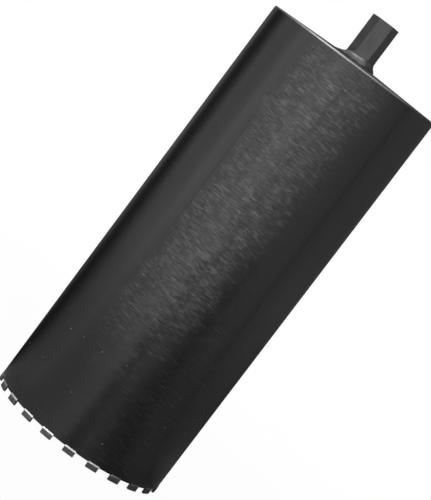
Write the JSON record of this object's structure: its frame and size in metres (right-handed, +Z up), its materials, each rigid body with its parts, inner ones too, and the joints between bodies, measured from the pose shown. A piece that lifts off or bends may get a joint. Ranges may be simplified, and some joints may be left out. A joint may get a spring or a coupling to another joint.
{
  "type": "diamond core bit",
  "caption": "Wet diamond core bit: long open steel barrel with a ring of brazed diamond segments on its rim, a welded end plate and a threaded hexagonal hub.",
  "frame": {"origin": "centre of the cutting plane, the face of the diamond segments that the bit stands on", "axes": "+Z up the axis of rotation to the threaded hub; -Y through diamond segment 01 and one flat of the hub"},
  "size_m": [0.2992, 0.3, 0.787],
  "materials": {
    "barrel_lacquer": "semi-gloss black lacquer over fine turning and handling scratches",
    "plate_lacquer": "semi-gloss black lacquer on a turned face",
    "dressed_edge": "weld ground bright to a steep bevel",
    "hub_lacquer": "black lacquer on milled and turned steel",
    "weld_lacquer": "black lacquer over a smooth weld bead",
    "diamond_bond": "sintered metal bond with diamond grit, dull grey",
    "silver_braze": "bright silver solder"
  },
  "bodies": {
    "root": {"barrel": "barrel_lacquer", "end_plate": "plate_lacquer", "rim_weld": "dressed_edge", "hub": "hub_lacquer", "hub_weld": "weld_lacquer", "diamond_segment_01": "diamond_bond", "diamond_segment_02": "diamond_bond", "diamond_segment_03": "diamond_bond", "diamond_segment_04": "diamond_bond", "diamond_segment_05": "diamond_bond", "diamond_segment_06": "diamond_bond", "diamond_segment_07": "diamond_bond", "diamond_segment_08": "diamond_bond", "diamond_segment_09": "diamond_bond", "diamond_segment_10": "diamond_bond", "diamond_segment_11": "diamond_bond", "diamond_segment_12": "diamond_bond", "diamond_segment_13": "diamond_bond", "diamond_segment_14": "diamond_bond", "diamond_segment_15": "diamond_bond", "diamond_segment_16": "diamond_bond", "diamond_segment_17": "diamond_bond", "diamond_segment_18": "diamond_bond", "diamond_segment_19": "diamond_bond", "diamond_segment_20": "diamond_bond", "diamond_segment_21": "diamond_bond", "diamond_segment_22": "diamond_bond", "braze_joint_01": "silver_braze", "braze_joint_02": "silver_braze", "braze_joint_03": "silver_braze", "braze_joint_04": "silver_braze", "braze_joint_05": "silver_braze", "braze_joint_06": "silver_braze", "braze_joint_07": "silver_braze", "braze_joint_08": "silver_braze", "braze_joint_09": "silver_braze", "braze_joint_10": "silver_braze", "braze_joint_11": "silver_braze", "braze_joint_12": "silver_braze", "braze_joint_13": "silver_braze", "braze_joint_14": "silver_braze", "braze_joint_15": "silver_braze", "braze_joint_16": "silver_braze", "braze_joint_17": "silver_braze", "braze_joint_18": "silver_braze", "braze_joint_19": "silver_braze", "braze_joint_20": "silver_braze", "braze_joint_21": "silver_braze", "braze_joint_22": "silver_braze"}
  },
  "joints": []
}
